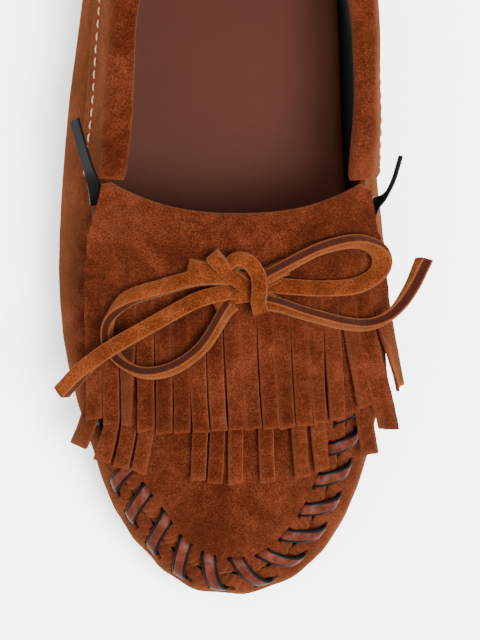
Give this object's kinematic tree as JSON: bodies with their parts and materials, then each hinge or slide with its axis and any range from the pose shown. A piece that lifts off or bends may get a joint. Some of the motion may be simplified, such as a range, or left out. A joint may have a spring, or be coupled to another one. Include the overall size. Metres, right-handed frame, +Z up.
{
  "type": "moccasin",
  "caption": "Suede moccasin shoe with a laced toe seam, a double fringed kiltie flap and a lace bow, on a thin rubber sole.",
  "frame": {"origin": "on the underside of the outsole, on the shoe's long axis near mid length", "axes": "+Z up, toe towards -Y, heel towards +Y, medial side towards +X"},
  "size_m": [0.1056, 0.2465, 0.0659],
  "materials": {
    "suede": "napped suede",
    "suede_fringe": "napped suede",
    "suede_bow": "napped suede, darker reverse",
    "lace_leather": "smooth, satin",
    "sock_leather": "smooth, dull",
    "lining": "matt",
    "board": "fibre board, matt",
    "foam": "soft foam",
    "rubber": "matt"
  },
  "bodies": {
    "shoe": {"outsole": "rubber", "insole_board": "board", "insole_pad": "foam", "sock_lining": "sock_leather", "wrap": "suede", "plug": "suede", "heel_counter": "board", "quarter_lining": "lining", "collar_cuff": "suede", "kiltie_fold": "suede_fringe", "whip_lace": "lace_leather"},
    "upper_flap": {"kiltie_upper": "suede_fringe", "bow_knot": "suede_bow"},
    "under_flap": {"kiltie_under": "suede_fringe"},
    "lateral_loop": {"bow_loop_lateral": "suede_bow"},
    "lateral_tail": {"bow_tail_lateral": "suede_bow"},
    "medial_loop": {"bow_loop_medial": "suede_bow"},
    "medial_tail": {"bow_tail_medial": "suede_bow"}
  },
  "joints": [
    {"name": "upper_flap_lift", "type": "hinge", "parent": "shoe", "child": "upper_flap", "pos_m": [0, -0.0172, 0.05893], "axis": [-1, 0, 0], "range_deg": [0, 60]},
    {"name": "under_flap_lift", "type": "hinge", "parent": "shoe", "child": "under_flap", "pos_m": [0, -0.0172, 0.05893], "axis": [-1, 0, 0], "range_deg": [0, 54]},
    {"name": "lateral_loop_lift", "type": "hinge", "parent": "upper_flap", "child": "lateral_loop", "pos_m": [-0.0025, -0.034, 0.05808], "axis": [0, 1, 0], "range_deg": [0, 40]},
    {"name": "lateral_tail_lift", "type": "hinge", "parent": "lateral_loop", "child": "lateral_tail", "pos_m": [-0.0025, -0.034, 0.05808], "axis": [0, 1, 0], "range_deg": [0, 30]},
    {"name": "medial_loop_lift", "type": "hinge", "parent": "upper_flap", "child": "medial_loop", "pos_m": [0.0105, -0.034, 0.05808], "axis": [0, -1, 0], "range_deg": [0, 40]},
    {"name": "medial_tail_lift", "type": "hinge", "parent": "upper_flap", "child": "medial_tail", "pos_m": [0.0105, -0.034, 0.05808], "axis": [0, -1, 0], "range_deg": [0, 40]}
  ],
  "couplings": [
    {"joint": "under_flap_lift", "follows": "upper_flap_lift", "ratio": 0.9}
  ]
}
